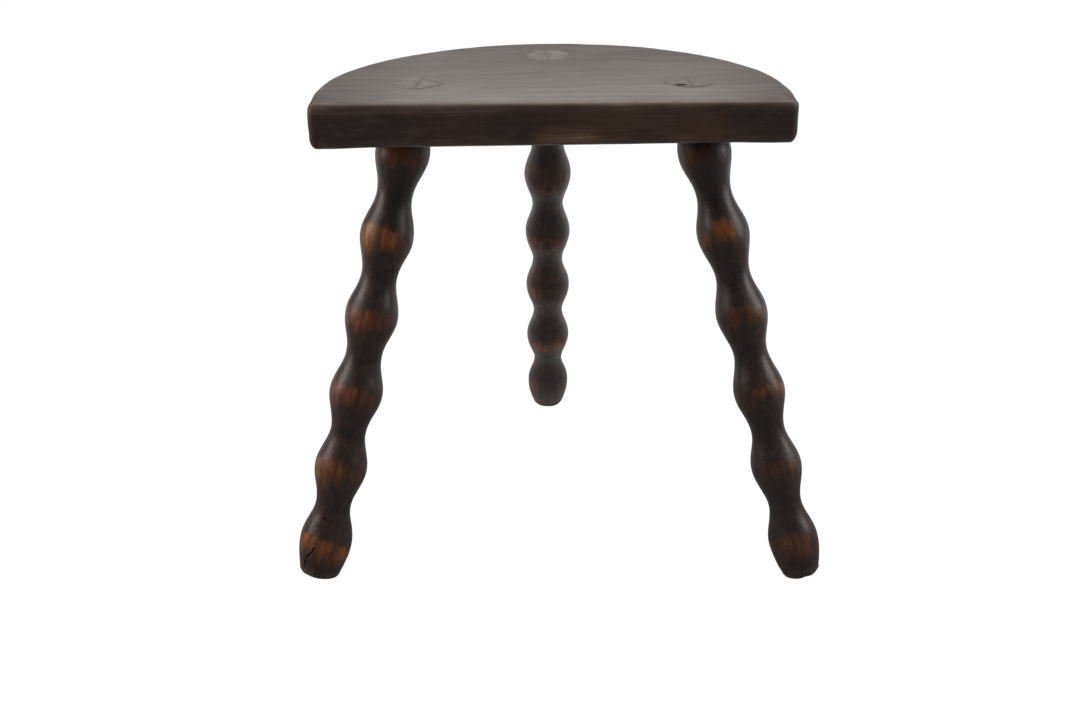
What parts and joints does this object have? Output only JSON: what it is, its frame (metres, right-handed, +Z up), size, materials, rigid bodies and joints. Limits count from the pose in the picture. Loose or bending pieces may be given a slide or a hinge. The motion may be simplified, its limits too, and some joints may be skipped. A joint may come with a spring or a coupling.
{
  "type": "half-moon three-legged stool",
  "caption": "Low half-moon wooden stool: a thick board with a straight front edge on raked, bead-turned legs, their tenons wedged through the board.",
  "frame": {"origin": "on the ground under the middle of the stool's bounding box", "axes": "+Z is up; +X runs to the right along the straight front edge; +Y runs from the straight front edge to the round back"},
  "size_m": [0.3464, 0.2814, 0.3185],
  "materials": {
    "seat_wood": "dark walnut stain under a worn satin wax, grain along the straight front edge",
    "leg_wood": "dark walnut stain with a satin wax, rubbed through to orange-brown wood on the undersides of the beads",
    "wedge_wood": "stained end grain, worn smooth with the seat"
  },
  "bodies": {
    "root": {"seat_board": "seat_wood", "leg_left": "leg_wood", "leg_right": "leg_wood", "leg_back": "leg_wood", "wedge_left": "wedge_wood", "wedge_right": "wedge_wood", "wedge_back": "wedge_wood"}
  },
  "joints": []
}
